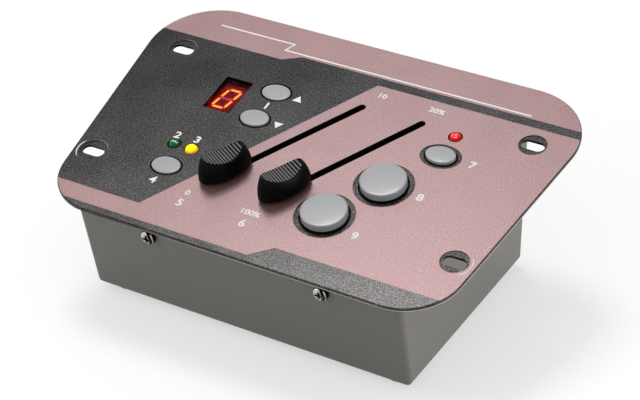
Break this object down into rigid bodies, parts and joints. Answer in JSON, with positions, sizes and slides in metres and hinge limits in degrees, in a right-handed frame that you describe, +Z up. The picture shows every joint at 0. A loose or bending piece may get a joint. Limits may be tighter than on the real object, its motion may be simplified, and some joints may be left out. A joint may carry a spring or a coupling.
{
  "type": "strobe light controller",
  "caption": "Wedge-shaped desk controller for strobe lights: a tilted panel with diagonal faders, push buttons, indicator lights and a digit display.",
  "frame": {"origin": "on the tabletop, under the middle of the overall width and depth", "axes": "+X to the right of the user, +Y to the back of the box, +Z up"},
  "size_m": [0.1704, 0.1104, 0.0665],
  "materials": {
    "panel_print": "printed two-tone sheet, dark grey and dusty pink",
    "panel_paint": "textured grey paint",
    "case_paint": "smooth grey paint",
    "foot_rubber": "soft black",
    "screw_steel": "zinc plated",
    "zinc_steel": "zinc plated",
    "spacer_nylon": "natural nylon",
    "board_laminate": "green solder mask",
    "track_laminate": "brown laminate",
    "chip_plastic": "black moulding compound",
    "capacitor_can": "plain can",
    "tinned_wire": "tinned",
    "display_plastic": "dark face",
    "filter_red": "dark red and see-through",
    "segment_lit": "lit",
    "segment_dark": "unlit",
    "lamp_green": "tinted lens, unlit",
    "lamp_yellow": "tinted lens, lit",
    "lamp_red": "tinted lens, lit",
    "button_plastic": "light grey, satin",
    "plunger_plastic": "black",
    "cap_plastic": "black, satin",
    "connector_metal": "nickel plated",
    "connector_plastic": "black",
    "contact_metal": "plated",
    "lead_jacket": "flexible black jacket"
  },
  "bodies": {
    "housing": {"auto_lamp": "lamp_yellow", "blackout_lamp": "lamp_red", "board_chips": "chip_plastic", "board_screws": "screw_steel", "board_spacers": "spacer_nylon", "case": "case_paint", "circuit_board": "board_laminate", "control_panel": "panel_paint", "dark_segment": "segment_dark", "dimmer_fader_frame": "zinc_steel", "dimmer_fader_rods": "zinc_steel", "dimmer_fader_track": "track_laminate", "display_body": "display_plastic", "display_filter": "filter_red", "display_pins": "tinned_wire", "filter_capacitors": "capacitor_can", "front_case_screws": "screw_steel", "front_clinch_nuts": "zinc_steel", "internal_leads": "lead_jacket", "lamp_legs": "tinned_wire", "lamp_spacers": "spacer_nylon", "large_switch_housings": "chip_plastic", "lit_segments": "segment_lit", "microphone": "capacitor_can", "output_socket_contacts": "contact_metal", "output_socket_insert": "connector_plastic", "output_socket_nuts": "zinc_steel", "output_socket_screws": "screw_steel", "output_socket_shell": "connector_metal", "power_inlet_body": "connector_plastic", "power_inlet_nut": "zinc_steel", "power_inlet_pin": "contact_metal", "printed_sheet": "panel_print", "rear_case_screws": "screw_steel", "rear_clinch_nuts": "zinc_steel", "rubber_feet": "foot_rubber", "small_switch_housings": "chip_plastic", "sound_lamp": "lamp_green", "speed_fader_frame": "zinc_steel", "speed_fader_rods": "zinc_steel", "speed_fader_track": "track_laminate", "voltage_regulator": "chip_plastic"},
    "speed_slider": {"speed_fader_cap": "cap_plastic", "speed_fader_lever": "zinc_steel", "speed_fader_wiper": "contact_metal"},
    "dimmer_slider": {"dimmer_fader_cap": "cap_plastic", "dimmer_fader_lever": "zinc_steel", "dimmer_fader_wiper": "contact_metal"},
    "chase_up_key": {"chase_up_button": "button_plastic", "chase_up_plunger": "plunger_plastic"},
    "chase_down_key": {"chase_down_button": "button_plastic", "chase_down_plunger": "plunger_plastic"},
    "mode_key": {"mode_button": "button_plastic", "mode_plunger": "plunger_plastic"},
    "blackout_key": {"blackout_button": "button_plastic", "blackout_plunger": "plunger_plastic"},
    "full_on_key": {"full_on_button": "button_plastic", "full_on_plunger": "plunger_plastic"},
    "single_flash_key": {"single_flash_button": "button_plastic", "single_flash_plunger": "plunger_plastic"}
  },
  "joints": [
    {"name": "speed_slide", "type": "slide", "parent": "housing", "child": "speed_slider", "axis": [0.5, 0.8455, 0.1874], "range_m": [-0.0057, 0.0543]},
    {"name": "dimmer_slide", "type": "slide", "parent": "housing", "child": "dimmer_slider", "axis": [0.5, 0.8455, 0.1874], "range_m": [-0.0057, 0.0543]},
    {"name": "chase_up_press", "type": "slide", "parent": "housing", "child": "chase_up_key", "axis": [0, 0.2164, -0.9763], "range_m": [0, 0.0005], "stiffness_N_per_m": 250, "springref_m": -0.002},
    {"name": "chase_down_press", "type": "slide", "parent": "housing", "child": "chase_down_key", "axis": [0, 0.2164, -0.9763], "range_m": [0, 0.0005], "stiffness_N_per_m": 250, "springref_m": -0.002},
    {"name": "mode_press", "type": "slide", "parent": "housing", "child": "mode_key", "axis": [0, 0.2164, -0.9763], "range_m": [0, 0.0005], "stiffness_N_per_m": 250, "springref_m": -0.002},
    {"name": "blackout_press", "type": "slide", "parent": "housing", "child": "blackout_key", "axis": [0, 0.2164, -0.9763], "range_m": [0, 0.0005], "stiffness_N_per_m": 250, "springref_m": -0.002},
    {"name": "full_on_press", "type": "slide", "parent": "housing", "child": "full_on_key", "axis": [0, 0.2164, -0.9763], "range_m": [0, 0.0015], "stiffness_N_per_m": 250, "springref_m": -0.002},
    {"name": "single_flash_press", "type": "slide", "parent": "housing", "child": "single_flash_key", "axis": [0, 0.2164, -0.9763], "range_m": [0, 0.0015], "stiffness_N_per_m": 250, "springref_m": -0.002}
  ]
}
